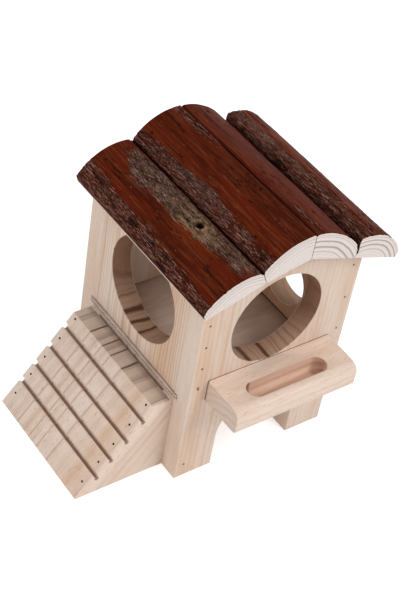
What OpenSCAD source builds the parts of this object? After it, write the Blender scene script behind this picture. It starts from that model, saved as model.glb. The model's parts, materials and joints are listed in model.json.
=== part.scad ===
// Wooden hamster house on legs: a ramp on the left side, a feeding trough on the
// front and a roof of four bark-faced log slabs.
//
// Frame: +X is the house's right side, +Y its back, +Z up, in millimetres.
// Inside the modules X is measured from the left edge of the front panel, Y from its
// outer face and Z from the ground. The finished model is moved so that the origin
// is at the middle of its footprint.

/* [House body] */
// Width of the front and back panels
house_w = 98; // [90:1:130]
// Depth from the front panel's outer face to the back panel's outer face
house_d = 102; // [96:1:140]
// Thickness of the pine boards
board_t = 12; // [10:0.5:14]
// Height of the roof's underside at the ridge
ridge_z = 144.6; // [138:0.2:170]
// Width of each leg at the panel's sides
leg_w = 23.5; // [18:0.5:30]
// Height of the arch between two legs
arch_top_z = 46; // [34:0.5:47]
// Largest radius of the arch's two upper corners
arch_corner_r = 25; // [5:0.5:25]

/* [Holes] */
// Diameter of the left wall's entrance
left_hole_d = 57.5; // [40:0.5:58]
// Height of the left wall's entrance, at its centre
left_hole_z = 93.5; // [90:0.5:98]
// How far in front of the wall's middle the left entrance is drilled
left_hole_shift = 1; // [0:0.5:3]
// Diameter of the front panel's entrance
front_hole_d = 55.5; // [40:0.5:57]
// Height of the front panel's entrance, at its centre
front_hole_z = 96.5; // [96:0.5:104]
// How far left of the panel's middle the front entrance is drilled
front_hole_shift = 1; // [0:0.5:3]
// Diameter of the round window in the right wall
window_d = 33; // [12:0.5:38]
// Height of the window, at its centre
window_z = 78.5; // [76:0.5:100]
// Distance of the window's centre behind the front panel's outer face
window_y = 39.5; // [36:0.5:60]

/* [Floor sheet] */
// Thickness of the plywood floor sheet
sheet_t = 3; // [2:0.1:4]
// Height of the floor sheet's upper face
sheet_z = 54.2; // [53:0.1:58]
// Depth of the grooves that hold the sheet's edges
groove_depth = 3; // [2:0.25:4]
// Gap under the sheet in its groove
gap_under_sheet = 0.2; // [0.1:0.05:0.4]
// Gap above the sheet in its groove
gap_over_sheet = 0.7; // [0.3:0.05:1.5]
// Gap between the sheet's edges and the groove's bottom
sheet_side_gap = 0.4; // [0.2:0.05:0.8]
// Length of sheet that stands out past the left wall
sheet_proud = 0.6; // [0:0.1:2]
// Wood left under the groove at the foot of the right wall
right_wall_sill = 8; // [5:0.5:12]

/* [Ramp] */
// Height of the landing at the ramp's top
landing_z = 49.8; // [44:0.2:50]
// Depth of the landing in front of the left wall
landing_depth = 12.4; // [11:0.2:18]
// Distance from the ramp's toe to the landing's front edge
ramp_run = 41; // [34:0.5:55]
// Thickness of the ramp board, square to its slope
ramp_t = 8.4; // [6:0.2:8.4]
// Thickness of the two triangular cheeks under the ramp board
cheek_t = 7.5; // [6:0.5:16]
// Number of foothold grooves across the ramp
step_count = 4; // [2:1:4]
// Distance up the slope from the toe to the first groove
first_step = 15.3; // [10:0.1:16]
// Distance from the first groove to the next, up the slope
step_pitch = 12.1; // [10:0.1:12.6]
// How much wider each further land between two grooves is than the one below
step_growth = 0.8; // [0:0.1:1]
// Width of a groove at the ramp's surface
step_w = 3.5; // [3:0.1:4.5]
// Width of a groove's floor
step_floor_w = 2; // [1:0.1:2.5]
// Depth of a groove
step_depth = 3; // [1:0.1:4]

/* [Feeding trough] */
// Length of the trough block
trough_l = 77; // [70:1:84]
// Depth of the trough block in front of the panel
trough_d = 26.5; // [22:0.5:34]
// Height of the trough block
trough_h = 13.6; // [11:0.2:16]
// Height of the trough's rim above the ground
trough_z = 69; // [62:0.5:69]
// Radius of the block's upper front edge
trough_edge_r = 5; // [1:0.5:6]
// Length of the pocket in the trough
pocket_l = 49.5; // [40:0.5:60]
// Width of the pocket
pocket_w = 11; // [8:0.5:14]
// Depth of the pocket
pocket_depth = 8.5; // [6:0.5:9]
// Radius of the pocket's bottom edge
pocket_edge_r = 3; // [1:0.25:3.5]
// Distance of the pocket's middle in front of the panel
pocket_y = 15.4; // [12:0.2:16]

/* [Roof] */
// Pitch of the slab at the left eave, in degrees
left_eave_pitch = 18; // [12:0.5:24]
// Pitch of the slab left of the ridge, in degrees
left_ridge_pitch = 12; // [8:0.5:20]
// Pitch of both slabs on the right, in degrees
right_pitch = 19; // [12:0.5:24]
// Width of the slab left of the ridge, along its slope
left_ridge_w = 26.2; // [24:0.2:34]
// Width of the slab right of the ridge, along its slope
right_ridge_w = 31.6; // [28:0.2:36]
// Height of the left eave slab at its crown
left_eave_crown = 11.2; // [9:0.2:14]
// Height of the left ridge slab at its crown
left_ridge_crown = 15.4; // [12:0.2:18]
// Height of the right ridge slab at its crown
right_ridge_crown = 14.8; // [12:0.2:18]
// Height of the right eave slab at its crown
right_eave_crown = 13.7; // [10:0.2:16]
// Distance of the left eave slab's crown from its upper joint
left_eave_crown_at = 15; // [10:0.5:18]
// Distance of the left ridge slab's crown from the ridge
left_ridge_crown_at = 5.5; // [3:0.5:10]
// Distance of the right ridge slab's crown from the ridge
right_ridge_crown_at = 4.5; // [3:0.5:10]
// Distance of the right eave slab's crown from its upper joint
right_eave_crown_at = 9.4; // [7:0.2:14]
// Height of the left ridge slab at its lower edge
left_joint_h = 8.3; // [6:0.1:10]
// Height of the right ridge slab at its lower edge
right_joint_h = 5; // [4:0.1:8]
// Height of the two eave slabs at the eaves
eave_h = 3.8; // [2:0.2:6]
// Overhang of the roof's underside past the side walls
roof_side = 10; // [4:0.5:20]
// Overhang of the roof in front of the front panel
roof_front = 12; // [4:0.5:24]
// Overhang of the roof behind the back panel
roof_back = 0.5; // [0:0.5:20]
// Gap between neighbouring slabs
slab_gap = 0.3; // [0.1:0.05:0.8]

/* [Brads] */
// Diameter of a brad's shank
brad_d = 1; // [0.8:0.1:1.2]
// Diameter of a brad's head
brad_head_d = 1.3; // [1.2:0.1:2]
// Height of a brad's head
brad_head_h = 0.6; // [0.4:0.1:1]
// Length of the brads through the front and back panels
wall_brad_l = 18; // [16:0.5:19]
// Length of the brads through the roof slabs
roof_brad_l = 25; // [20:1:28]
// Length of the brads through the ramp board
ramp_brad_l = 15; // [12:0.5:15]
// Length of the brads behind the trough and in the lower left wall
inner_brad_l = 20; // [16:0.5:22]
// Distance up the slope from the toe to the lowest ramp brads
toe_brad_up = 9.4; // [8:0.2:10]
// Distance of the highest ramp brads below the landing's edge
top_brad_inset = 2; // [1.6:0.2:4]
// Distance of the wall brads from the panels' side edges
brad_inset = 5; // [4:0.5:7]
// Clearance round a brad in its hole
brad_fit = 0.02; // [0.01:0.01:0.05]

/* [Hidden] */

$fn = 96;
// How far a cutter runs past the face it cuts
past = 1;

pine = "#dcc6b4";
plywood = "#a89884";
bark = "#4c1c12";
steel = "#4a4440";

// Body: where the side walls and the floor lie
back_inner_y = house_d - board_t;
right_inner_x = house_w - board_t;
inner_d = back_inner_y - board_t;
mid_y = house_d / 2;
groove_z0 = sheet_z - sheet_t - gap_under_sheet;
groove_z1 = sheet_z + gap_over_sheet;
arch_w = house_w - 2 * leg_w;
arch_r = min(arch_corner_r, arch_w / 2);

// Ramp: directions in the X-Z plane, up the slope and square to it
toe_x = -landing_depth - ramp_run;
slope_l = norm([ramp_run, landing_z]);
slope_up = [ramp_run, landing_z] / slope_l;
slope_out = [-slope_up.y, slope_up.x];
ramp_pitch = atan2(landing_z, ramp_run);
// Horizontal length of a slanted cut through the ramp board
ramp_cut = ramp_t / sin(ramp_pitch);

// Roof: each slab is the part of a round log above a sawn underside
function down(side, pitch) = [side * cos(pitch), -sin(pitch)];
function square_to(side, pitch) = [side * sin(pitch), cos(pitch)];
ridge = [house_w / 2, ridge_z];
left_joint = ridge + left_ridge_w * down(-1, left_ridge_pitch);
right_joint = ridge + right_ridge_w * down(1, right_pitch);
left_eave_w = (left_joint.x + roof_side) / cos(left_eave_pitch);
right_eave_w = (house_w + roof_side - right_joint.x) / cos(right_pitch);
roof_l = roof_front + house_d + roof_back;

// Lean of the joint between the two left slabs, from upright towards the eave
left_joint_lean = 24;
// A slab is [side, start, pitch, width, crown's distance from its start,
// crown's height, lower edge's height, lean of the start's side, of the end's side]
LEFT_EAVE = [-1, left_joint, left_eave_pitch, left_eave_w, left_eave_crown_at,
             left_eave_crown, eave_h, left_joint_lean, left_eave_pitch];
LEFT_RIDGE = [-1, ridge, left_ridge_pitch, left_ridge_w, left_ridge_crown_at,
              left_ridge_crown, left_joint_h, 0, left_joint_lean];
RIGHT_RIDGE = [1, ridge, right_pitch, right_ridge_w, right_ridge_crown_at,
               right_ridge_crown, right_joint_h, 0, 0];
RIGHT_EAVE = [1, right_joint, right_pitch, right_eave_w, right_eave_crown_at,
              right_eave_crown, eave_h, 0, right_pitch];
// Wane that rounds the upper inner edge of the right eave slab
wane_r = 22;
wane_rise = 2;

// Radius of the log that a slab was sawn from, through its crown and its lower edge
function log_r(slab) =
    let (run = slab[3] - slab[4], fall = slab[5] - slab[6])
    (run ^ 2 + fall ^ 2) / (2 * fall);
// Height of a slab's bark above its sawn underside, at a distance from its start
function bark_height(slab, at) =
    slab[5] - log_r(slab) + sqrt(log_r(slab) ^ 2 - (at - slab[4]) ^ 2);
function on_underside(slab, at) = slab[1] + at * down(slab[0], slab[2]);
// Height of a roof underside above a place across the house
function underside_z(slab, x) =
    slab[1].y - abs(x - slab[1].x) * tan(slab[2]);

// The finished model's footprint, and its middle
right_end = right_eave_w - slab_gap / 2;
roof_right = on_underside(RIGHT_EAVE, right_end).x
    + bark_height(RIGHT_EAVE, right_end) * sin(right_pitch);
middle = [(toe_x + roof_right) / 2, (house_d + roof_back - trough_d) / 2, 0];

// Brads: places shared by the holes and the brads
lower_brad_z = 9;
left_brad_above_floor = 11;
left_brad_rise = 14.5;
left_brad_z = [
    lower_brad_z,
    for (i = [0:3]) sheet_z + left_brad_above_floor + i * left_brad_rise
];
right_brad_above_floor = 17;
right_brad_rise = 22;
right_brad_z = [for (i = [0:2]) sheet_z + right_brad_above_floor + i * right_brad_rise];
trough_brad_x = [house_w / 2 - trough_l / 3, house_w / 2 + trough_l / 3];
trough_brad_z = (max(trough_z - trough_h, groove_z1) + trough_z) / 2;
ramp_brad_y = [board_t + cheek_t / 2, back_inner_y - cheek_t / 2];
cheek_brad_z = [16, 32];
// Distance of a groove's lower side up the slope from the toe
function step_up(i) = first_step + i * step_pitch + step_growth * i * (i - 1) / 2;
// Distances of the ramp brads up the slope from the toe, one pair on each land
ramp_brad_up = [
    toe_brad_up,
    for (i = [0:step_count - 2]) (step_up(i) + step_w + step_up(i + 1)) / 2,
    slope_l - top_brad_inset
];
// The lowest ramp brads are shorter, and end above the ground
brad_above_ground = 1.5;
function ramp_brad_length(up) =
    min(ramp_brad_l, up * slope_up.y / slope_up.x - brad_above_ground);
// Distances of the roof brads from each slab's start, over a panel
roof_brad_at = [[LEFT_EAVE, 7], [LEFT_EAVE, 20], [LEFT_RIDGE, 7], [LEFT_RIDGE, 20],
                [RIGHT_RIDGE, 8], [RIGHT_RIDGE, 23], [RIGHT_EAVE, 5], [RIGHT_EAVE, 14]];

// Extrudes an X-Z outline from one place in Y to another
module through(y0, y1) {
    translate([0, y1, 0])
        rotate([90, 0, 0])
            linear_extrude(y1 - y0)
                children();
}

// A brad, or the hole it fills, driven along -Z with its head's face at the origin
module brad(length, fit = 0) {
    translate([0, 0, -length])
        cylinder(d = brad_d + 2 * fit, h = length - brad_head_h / 2);
    translate([0, 0, -brad_head_h - fit])
        cylinder(d = brad_head_d + 2 * fit, h = brad_head_h + fit + (fit > 0 ? past : 0));
}

// The brads through the front panel into the edges of the side walls
module wall_brads(fit = 0) {
    for (z = left_brad_z)
        translate([brad_inset, 0, z])
            rotate([90, 0, 0])
                brad(wall_brad_l, fit);
    for (z = right_brad_z)
        translate([house_w - brad_inset, 0, z])
            rotate([90, 0, 0])
                brad(wall_brad_l, fit);
}

// The same brads at the back panel
module back_wall_brads(fit = 0) {
    translate([0, house_d, 0])
        mirror([0, 1, 0])
            wall_brads(fit);
}

module trough_brad_set(fit = 0) {
    for (x = trough_brad_x)
        translate([x, board_t, trough_brad_z])
            rotate([-90, 0, 0])
                brad(inner_brad_l, fit);
}

module ramp_brad_set(fit = 0) {
    for (y = ramp_brad_y, up = ramp_brad_up) {
        spot = [toe_x, 0] + up * slope_up;
        translate([spot.x, y, spot.y])
            rotate([0, -ramp_pitch, 0])
                brad(ramp_brad_length(up), fit);
    }
}

module cheek_brad_set(fit = 0) {
    for (y = ramp_brad_y, z = cheek_brad_z)
        translate([board_t, y, z])
            rotate([0, 90, 0])
                brad(inner_brad_l, fit);
}

// The roof brads over one panel, square to each slab's underside
module roof_brad_set(y, fit = 0) {
    for (spot = roof_brad_at) {
        slab = spot[0];
        foot = on_underside(slab, spot[1]);
        translate([foot.x, y, foot.y])
            rotate([0, slab[0] * slab[2], 0])
                translate([0, 0, bark_height(slab, spot[1]) - brad_head_h])
                    brad(roof_brad_l, fit);
    }
}

front_roof_brad_y = board_t / 2;
back_roof_brad_y = house_d - board_t / 2;

module roof_holes() {
    roof_brad_set(front_roof_brad_y, brad_fit);
    roof_brad_set(back_roof_brad_y, brad_fit);
}

// Outline of a panel: gable top under the slabs, arch between two legs
module panel_outline() {
    difference() {
        polygon([
            [0, 0], [house_w, 0],
            [house_w, underside_z(RIGHT_RIDGE, house_w)],
            ridge, left_joint,
            [0, underside_z(LEFT_EAVE, 0)]
        ]);
        translate([leg_w, -past])
            square([arch_w, arch_top_z - arch_r + past]);
        translate([leg_w + arch_r, 0])
            square([arch_w - 2 * arch_r, arch_top_z]);
        for (x = [leg_w + arch_r, house_w - leg_w - arch_r])
            translate([x, arch_top_z - arch_r])
                circle(r = arch_r);
    }
}

// The groove that the sheet runs in, along a panel's inner face
module panel_groove(y0) {
    translate([-past, y0, groove_z0])
        cube([house_w + 2 * past, groove_depth + past, groove_z1 - groove_z0]);
}

module front_panel() {
    color(pine)
        difference() {
            through(0, board_t) panel_outline();
            translate([house_w / 2 - front_hole_shift, -past, front_hole_z])
                rotate([-90, 0, 0])
                    cylinder(d = front_hole_d, h = board_t + 2 * past);
            panel_groove(board_t - groove_depth);
            wall_brads(brad_fit);
            trough_brad_set(brad_fit);
            roof_holes();
        }
}

module back_panel() {
    color(pine)
        difference() {
            through(back_inner_y, house_d) panel_outline();
            panel_groove(back_inner_y - past);
            back_wall_brads(brad_fit);
            roof_holes();
        }
}

// A side wall above the floor, cut to the roof's slope
module side_wall(x0, slab, z0) {
    through(board_t, back_inner_y)
        polygon([
            [x0, z0], [x0 + board_t, z0],
            [x0 + board_t, underside_z(slab, x0 + board_t)],
            [x0, underside_z(slab, x0)]
        ]);
}

module left_upper_wall() {
    color(pine)
        difference() {
            side_wall(0, LEFT_EAVE, groove_z1);
            translate([-past, mid_y - left_hole_shift, left_hole_z])
                rotate([0, 90, 0])
                    cylinder(d = left_hole_d, h = board_t + 2 * past);
            wall_brads(brad_fit);
            back_wall_brads(brad_fit);
        }
}

module left_lower_wall() {
    color(pine)
        difference() {
            translate([0, board_t, 0])
                cube([board_t, inner_d, groove_z0]);
            wall_brads(brad_fit);
            back_wall_brads(brad_fit);
            cheek_brad_set(brad_fit);
        }
}

module right_wall() {
    color(pine)
        difference() {
            side_wall(right_inner_x, RIGHT_RIDGE, groove_z0 - right_wall_sill);
            translate([right_inner_x - past, window_y, window_z])
                rotate([0, 90, 0])
                    cylinder(d = window_d, h = board_t + 2 * past);
            translate([right_inner_x - past, board_t - past, groove_z0])
                cube([groove_depth + past, inner_d + 2 * past, groove_z1 - groove_z0]);
            wall_brads(brad_fit);
            back_wall_brads(brad_fit);
        }
}

module floor_sheet() {
    edge_y = board_t - groove_depth + sheet_side_gap;
    far_x = right_inner_x + groove_depth - sheet_side_gap;
    color(plywood)
        translate([-sheet_proud, edge_y, sheet_z - sheet_t])
            cube([far_x + sheet_proud, house_d - 2 * edge_y, sheet_t]);
}

// Outline of the trough's end: a block with its upper front edge rounded
module trough_end() {
    difference() {
        translate([-trough_d, 0])
            square([trough_d, trough_h]);
        translate([-trough_d, trough_h - trough_edge_r])
            difference() {
                translate([-past, 0])
                    square([trough_edge_r + past, trough_edge_r + past]);
                translate([trough_edge_r, 0])
                    circle(r = trough_edge_r);
            }
    }
}

// Right half of the pocket's cross-section, with its rim at the origin
module pocket_half() {
    edge_x = pocket_w / 2 - pocket_edge_r;
    edge_z = pocket_edge_r - pocket_depth;
    intersection() {
        translate([0, -pocket_depth])
            square([pocket_w / 2, pocket_depth + past]);
        union() {
            translate([0, -pocket_depth])
                square([edge_x, pocket_depth + past]);
            translate([0, edge_z])
                square([pocket_w / 2, past - edge_z]);
            translate([edge_x, edge_z])
                circle(r = pocket_edge_r);
        }
    }
}

module feeding_trough() {
    run = (pocket_l - pocket_w) / 2;
    color(pine)
        difference() {
            translate([(house_w - trough_l) / 2, 0, trough_z - trough_h])
                rotate([90, 0, 90])
                    linear_extrude(trough_l)
                        trough_end();
            translate([house_w / 2, -pocket_y, trough_z]) {
                for (x = [-run, run])
                    translate([x, 0, 0])
                        rotate_extrude()
                            pocket_half();
                for (side = [0, 1])
                    mirror([0, side, 0])
                        translate([-run, 0, 0])
                            rotate([90, 0, 90])
                                linear_extrude(2 * run)
                                    pocket_half();
            }
            trough_brad_set(brad_fit);
        }
}

// A foothold: square to the slope on its lower side, slanted on its upper side
module step_notch(up) {
    foot = [toe_x, 0] + up * slope_up;
    polygon([
        foot + past * slope_out,
        foot - step_depth * slope_out,
        foot + step_floor_w * slope_up - step_depth * slope_out,
        foot + step_w * slope_up,
        foot + step_w * slope_up + past * slope_out
    ]);
}

module ramp_board() {
    color(pine)
        difference() {
            through(board_t, back_inner_y)
                difference() {
                    polygon([
                        [toe_x, 0], [toe_x + ramp_cut, 0],
                        [ramp_cut - landing_depth, landing_z], [-landing_depth, landing_z]
                    ]);
                    for (i = [0:step_count - 1])
                        step_notch(step_up(i));
                }
            ramp_brad_set(brad_fit);
        }
}

module ramp_cheek(y0) {
    color(pine)
        difference() {
            through(y0, y0 + cheek_t)
                polygon([
                    [toe_x + ramp_cut, 0], [0, 0],
                    [0, landing_z], [ramp_cut - landing_depth, landing_z]
                ]);
            ramp_brad_set(brad_fit);
            cheek_brad_set(brad_fit);
        }
}

module ramp_cheek_front() {
    ramp_cheek(board_t);
}

module ramp_cheek_back() {
    ramp_cheek(back_inner_y - cheek_t);
}

// Outline of a slab's end: the log's round, cut off by the underside and two sides
module slab_end(slab) {
    side = slab[0];
    tall = 2 * slab[5];
    inner_foot = on_underside(slab, slab_gap / 2);
    outer_foot = on_underside(slab, slab[3] - slab_gap / 2);
    intersection() {
        translate(on_underside(slab, slab[4])
                  + (slab[5] - log_r(slab)) * square_to(side, slab[2]))
            circle(r = log_r(slab));
        polygon([
            inner_foot, outer_foot,
            outer_foot + tall * square_to(side, slab[8]),
            inner_foot + tall * square_to(side, slab[7])
        ]);
    }
}

module roof_slab(slab) {
    color(bark)
        difference() {
            through(-roof_front, house_d + roof_back)
                slab_end(slab);
            roof_holes();
        }
}

module roof_slab_left_eave() {
    roof_slab(LEFT_EAVE);
}

module roof_slab_left_ridge() {
    roof_slab(LEFT_RIDGE);
}

module roof_slab_right_ridge() {
    roof_slab(RIGHT_RIDGE);
}

module roof_slab_right_eave() {
    start = on_underside(RIGHT_EAVE, slab_gap / 2);
    color(bark)
        difference() {
            through(-roof_front, house_d + roof_back)
                intersection() {
                    slab_end(RIGHT_EAVE);
                    translate([start.x + wane_r, start.y + wane_rise])
                        circle(r = wane_r);
                }
            roof_holes();
        }
}

module front_panel_brads() {
    color(steel) wall_brads();
}

module back_panel_brads() {
    color(steel) back_wall_brads();
}

module trough_brads() {
    color(steel) trough_brad_set();
}

module ramp_board_brads() {
    color(steel) ramp_brad_set();
}

module ramp_cheek_brads() {
    color(steel) cheek_brad_set();
}

module roof_brads_front() {
    color(steel) roof_brad_set(front_roof_brad_y);
}

module roof_brads_back() {
    color(steel) roof_brad_set(back_roof_brad_y);
}

translate(-middle) front_panel();
translate(-middle) back_panel();
translate(-middle) left_upper_wall();
translate(-middle) left_lower_wall();
translate(-middle) right_wall();
translate(-middle) floor_sheet();
translate(-middle) feeding_trough();
translate(-middle) ramp_board();
translate(-middle) ramp_cheek_front();
translate(-middle) ramp_cheek_back();
translate(-middle) roof_slab_left_eave();
translate(-middle) roof_slab_left_ridge();
translate(-middle) roof_slab_right_ridge();
translate(-middle) roof_slab_right_eave();
translate(-middle) front_panel_brads();
translate(-middle) back_panel_brads();
translate(-middle) trough_brads();
translate(-middle) ramp_board_brads();
translate(-middle) ramp_cheek_brads();
translate(-middle) roof_brads_front();
translate(-middle) roof_brads_back();
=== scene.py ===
import json
import math
from typing import NamedTuple

import bpy
from mathutils import Matrix, Vector, noise


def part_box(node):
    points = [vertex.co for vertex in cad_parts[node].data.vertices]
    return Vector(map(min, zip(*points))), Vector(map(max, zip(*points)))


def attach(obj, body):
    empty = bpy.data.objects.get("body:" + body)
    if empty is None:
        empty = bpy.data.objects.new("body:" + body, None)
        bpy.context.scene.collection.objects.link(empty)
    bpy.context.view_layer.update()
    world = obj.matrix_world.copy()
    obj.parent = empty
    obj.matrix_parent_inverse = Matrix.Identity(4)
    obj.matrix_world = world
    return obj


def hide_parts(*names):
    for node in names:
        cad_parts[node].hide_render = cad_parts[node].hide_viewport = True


bl_info = {
    "name": "Wooden Hamster House",
    "version": (1, 1, 0),
    "blender": (4, 5, 0),
    "location": "View3D > Sidebar > Hamster House",
    "description": "Dresses a pine hamster house with a bark roof, round entrances and a ramp",
    "category": "Object",
}

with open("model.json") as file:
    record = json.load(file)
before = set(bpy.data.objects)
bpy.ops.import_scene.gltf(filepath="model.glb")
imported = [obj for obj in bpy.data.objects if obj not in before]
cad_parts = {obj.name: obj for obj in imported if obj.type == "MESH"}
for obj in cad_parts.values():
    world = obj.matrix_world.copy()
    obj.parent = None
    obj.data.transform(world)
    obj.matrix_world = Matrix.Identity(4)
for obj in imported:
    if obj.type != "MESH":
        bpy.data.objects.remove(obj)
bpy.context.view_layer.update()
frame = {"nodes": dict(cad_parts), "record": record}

MM = 0.001
FRONT_LOW, FRONT_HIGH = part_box("front_panel")
BACK_LOW, BACK_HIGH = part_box("back_panel")
RAMP_LOW, RAMP_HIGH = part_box("ramp_board")
SHEET_LOW, SHEET_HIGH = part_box("floor_sheet")
TROUGH_LOW, TROUGH_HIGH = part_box("feeding_trough")
# Points this close are one point, and what is this close to a plane lies on it
SAME = 0.001 * MM
NEAR = 0.01 * MM
UP = Vector((0, 0, 1))
LONG = Vector((1, 0, 0))
DEEP = Vector((0, 1, 0))
HOUSE = "house"
FLOOR = "floor"


def linear(code):
    """Turns an sRGB hex value into linear red, green and blue."""
    parts = [int(code[i:i + 2], 16) / 255 for i in (1, 3, 5)]
    return [c / 12.92 if c <= 0.04045 else ((c + 0.055) / 1.055) ** 2.4 for c in parts]


# ---- sizes and colours

def length(name, millimetres, description):
    """A size that a user may change, kept in metres."""
    return bpy.props.FloatProperty(
        name=name, description=description, default=millimetres * MM, min=0,
        precision=5, unit="LENGTH", subtype="DISTANCE")


def colour(name, code, description):
    """A colour that a user may change, given as an sRGB hex value."""
    return bpy.props.FloatVectorProperty(
        name=name, description=description, subtype="COLOR", size=3, min=0, max=1,
        default=linear(code))


class HamsterHouseSizes(bpy.types.PropertyGroup):
    """Sizes of what the dressing adds to the CAD pieces."""
    arris: length("Arris", 0.4, "Width of the sanded edges of the boards")
    crisp_arris: length("Crisp arris", 0.12, "Width of the ramp's edges, left as sawn")
    trough_arris: length("Trough arris", 1.6, "Rounding of the trough's lower front edge")
    sheet_corner: length("Sheet corner", 1.2, "Rounding of the floor sheet's corners")
    bark_cell: length("Bark cell", 0.55, "Size of a mesh cell on the bark")
    bark_swell: length("Bark swell", 0.4, "Height of the long swells in the bark")
    bark_ridge: length("Bark ridge", 0.75, "Height of the ridges where outer bark is left")
    eave_sawn: length("Bare eave", 1.1, "Height of the bare wood along a slab's eave")
    brad_pit: length("Brad pit", 0.9, "Radius of the pit round a roof brad")


class HamsterHouseColours(bpy.types.PropertyGroup):
    """Colours of the wood, the bark and the brads."""
    pine_pale: colour("Pine, early wood", "#e6d3c4", "Pale wood between the rings")
    pine_late: colour("Pine, late wood", "#b58a6a", "Darker line of a ring")
    pine_tan: colour("Pine, heartwood", "#d8b08c", "Warm bands in a board")
    pine_end: colour("Pine, end grain", "#a88468", "Wood cut across the grain")
    # The drilled colours are the burnished wood's own brown, darkened further by painted shade
    # inside the holes
    drilled: colour("Drilled pine", "#97715a", "Burnished wood in a drilled hole")
    drilled_end: colour("Drilled end grain", "#b9967d", "End grain in a drilled hole")
    drilled_ring: colour("Drilled rings", "#59341f", "Rings where a drill crosses them")
    slab_pale: colour("Slab wood", "#ebe0d9", "Fresh sawn sapwood of the slabs")
    slab_ring: colour("Slab rings", "#8d7c70", "Rings in the slabs' ends")
    stain_deep: colour("Stain, deep", "#3d1409", "Stained inner bark where it is dark")
    stain: colour("Stain", "#5c1f0c", "Red-brown stain on inner bark")
    stain_worn: colour("Stain, worn", "#773413", "Orange-brown where the stain is thin")
    bark_dark: colour("Rough bark", "#421f14", "Stained outer bark")
    bark_pink: colour("Bark fibres", "#a98072", "Torn fibres on the outer bark")
    bark_grey: colour("Weathered bark", "#68483c", "Weathered bark")
    bark_light: colour("Weathered bark, light", "#a88e80", "Lit ridges of weathered bark")
    ply_face: colour("Plywood face", "#dac3b5", "Poplar face of the plywood")
    ply_core: colour("Plywood core", "#6d4f3a", "Core ply in the sheet's edge")
    steel: colour("Brad steel", "#8a7463", "Dull steel of the brads in the walls")
    steel_stained: colour("Brad steel, stained", "#3a251c", "Steel under the roof's stain")


def sizes():
    return bpy.context.scene.hamster_house_sizes


def colours():
    return bpy.context.scene.hamster_house_colours


# ---- modelling helpers

def select_only(piece):
    """Leaves one object selected and active, in object mode."""
    if bpy.context.object and bpy.context.object.mode != "OBJECT":
        bpy.ops.object.mode_set(mode="OBJECT")
    bpy.ops.object.select_all(action="DESELECT")
    piece.select_set(True)
    bpy.context.view_layer.objects.active = piece


def merged_copy(node):
    """A new piece with a CAD node's shape, its loose triangles merged into whole faces."""
    piece = bpy.data.objects.new("dressed_" + node, frame["nodes"][node].data.copy())
    bpy.context.scene.collection.objects.link(piece)
    select_only(piece)
    piece.data.materials.clear()
    bpy.ops.mesh.customdata_custom_splitnormals_clear()
    bpy.ops.object.mode_set(mode="EDIT")
    bpy.ops.mesh.select_all(action="SELECT")
    bpy.ops.mesh.remove_doubles(threshold=SAME)
    flat = math.radians(0.5)
    bpy.ops.mesh.dissolve_limited(angle_limit=flat)
    bpy.ops.object.mode_set(mode="OBJECT")
    return piece


def select_edges(piece, wanted):
    """Selects the edges for which wanted(start, end, faces' angle) is true, and no others."""
    select_only(piece)
    bpy.ops.object.mode_set(mode="EDIT")
    bpy.ops.mesh.select_mode(type="EDGE")
    bpy.ops.mesh.select_all(action="DESELECT")
    bpy.ops.object.mode_set(mode="OBJECT")
    mesh = piece.data
    faces_of = {}
    for face in mesh.polygons:
        for key in face.edge_keys:
            faces_of.setdefault(key, []).append(face.normal)
    for edge in mesh.edges:
        normals = faces_of.get(edge.key, [])
        if len(normals) != 2:
            continue
        turn = normals[0].angle(normals[1], 0)
        start, end = (mesh.vertices[i].co for i in edge.vertices)
        edge.select = wanted(start, end, turn)
    bpy.ops.object.mode_set(mode="EDIT")


def ease_arrises(piece, width, segments=2, wanted=None):
    """Rounds the sharp edges of a board as sandpaper does, but not the brads' small holes.
    wanted(start, end) may leave out more edges."""
    shortest = 0.5 * MM
    sharp = math.radians(30)

    def is_arris(start, end, turn):
        if turn < sharp or (end - start).length < shortest:
            return False
        return wanted is None or wanted(start, end)

    select_edges(piece, is_arris)
    bpy.ops.mesh.bevel(
        offset=width, segments=segments, profile=0.5, affect="EDGES", clamp_overlap=False)
    bpy.ops.object.mode_set(mode="OBJECT")


def finish_piece(piece, material, node, body=HOUSE):
    """Shades and paints a piece, and mounts it in the place of a CAD node."""
    select_only(piece)
    rounded = math.radians(28)
    bpy.ops.object.shade_smooth_by_angle(angle=rounded)
    piece.data.materials.clear()
    piece.data.materials.append(material)
    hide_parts(node)
    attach(piece, body)


def paint_faces(piece, material, wanted):
    """Gives one more material to the faces for which wanted(face) is true."""
    piece.data.materials.append(material)
    number = len(piece.data.materials) - 1
    for face in piece.data.polygons:
        if wanted(face):
            face.material_index = number


def paint_holes(piece, openings, axis, material):
    """Gives the walls of a board's drilled holes a material of their own. A hole is found
    by the space that the record keeps open in it."""
    margin = 2 * MM
    squarely = 0.93
    holes = []
    for space in frame["record"]["physics"]["openings"]:
        if space["name"] in openings:
            low, high = (Vector(corner) for corner in space["box_m"])
            reach = (high - low) / 2
            holes.append(((low + high) / 2, (reach - axis * reach.dot(axis)).length + margin))

    def in_hole(face):
        for middle, radius in holes:
            inward = middle - face.center
            inward -= axis * inward.dot(axis)
            if inward.length < radius and face.normal.dot(inward.normalized()) > squarely:
                return True
        return False

    paint_faces(piece, material, in_hole)


# ---- materials

# The width, depth and length of the marks in pine along its grain, in mm. Fibres and resin
# canals are drawn three times as coarse as they are, so that they show
TRUNK_BENDS = (16, 16, 70)
CLOUDS = (10, 10, 55)
FIBRES = (0.55, 0.55, 15)
CANALS = (0.5, 0.5, 5)
SMOOTH = {"interpolation_type": "SMOOTHSTEP"}


def fill(tree, node, inputs):
    """Sets or links a node's inputs. They go by name or number, which for MapRange runs
    from the value over the two ends that it comes from to the two that it goes to."""
    for name, value in inputs.items():
        socket = node.inputs[name]
        if isinstance(value, bpy.types.NodeSocket):
            tree.links.new(value, socket)
        elif socket.type == "RGBA":
            socket.default_value = (*value, 1)
        else:
            socket.default_value = value


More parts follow.
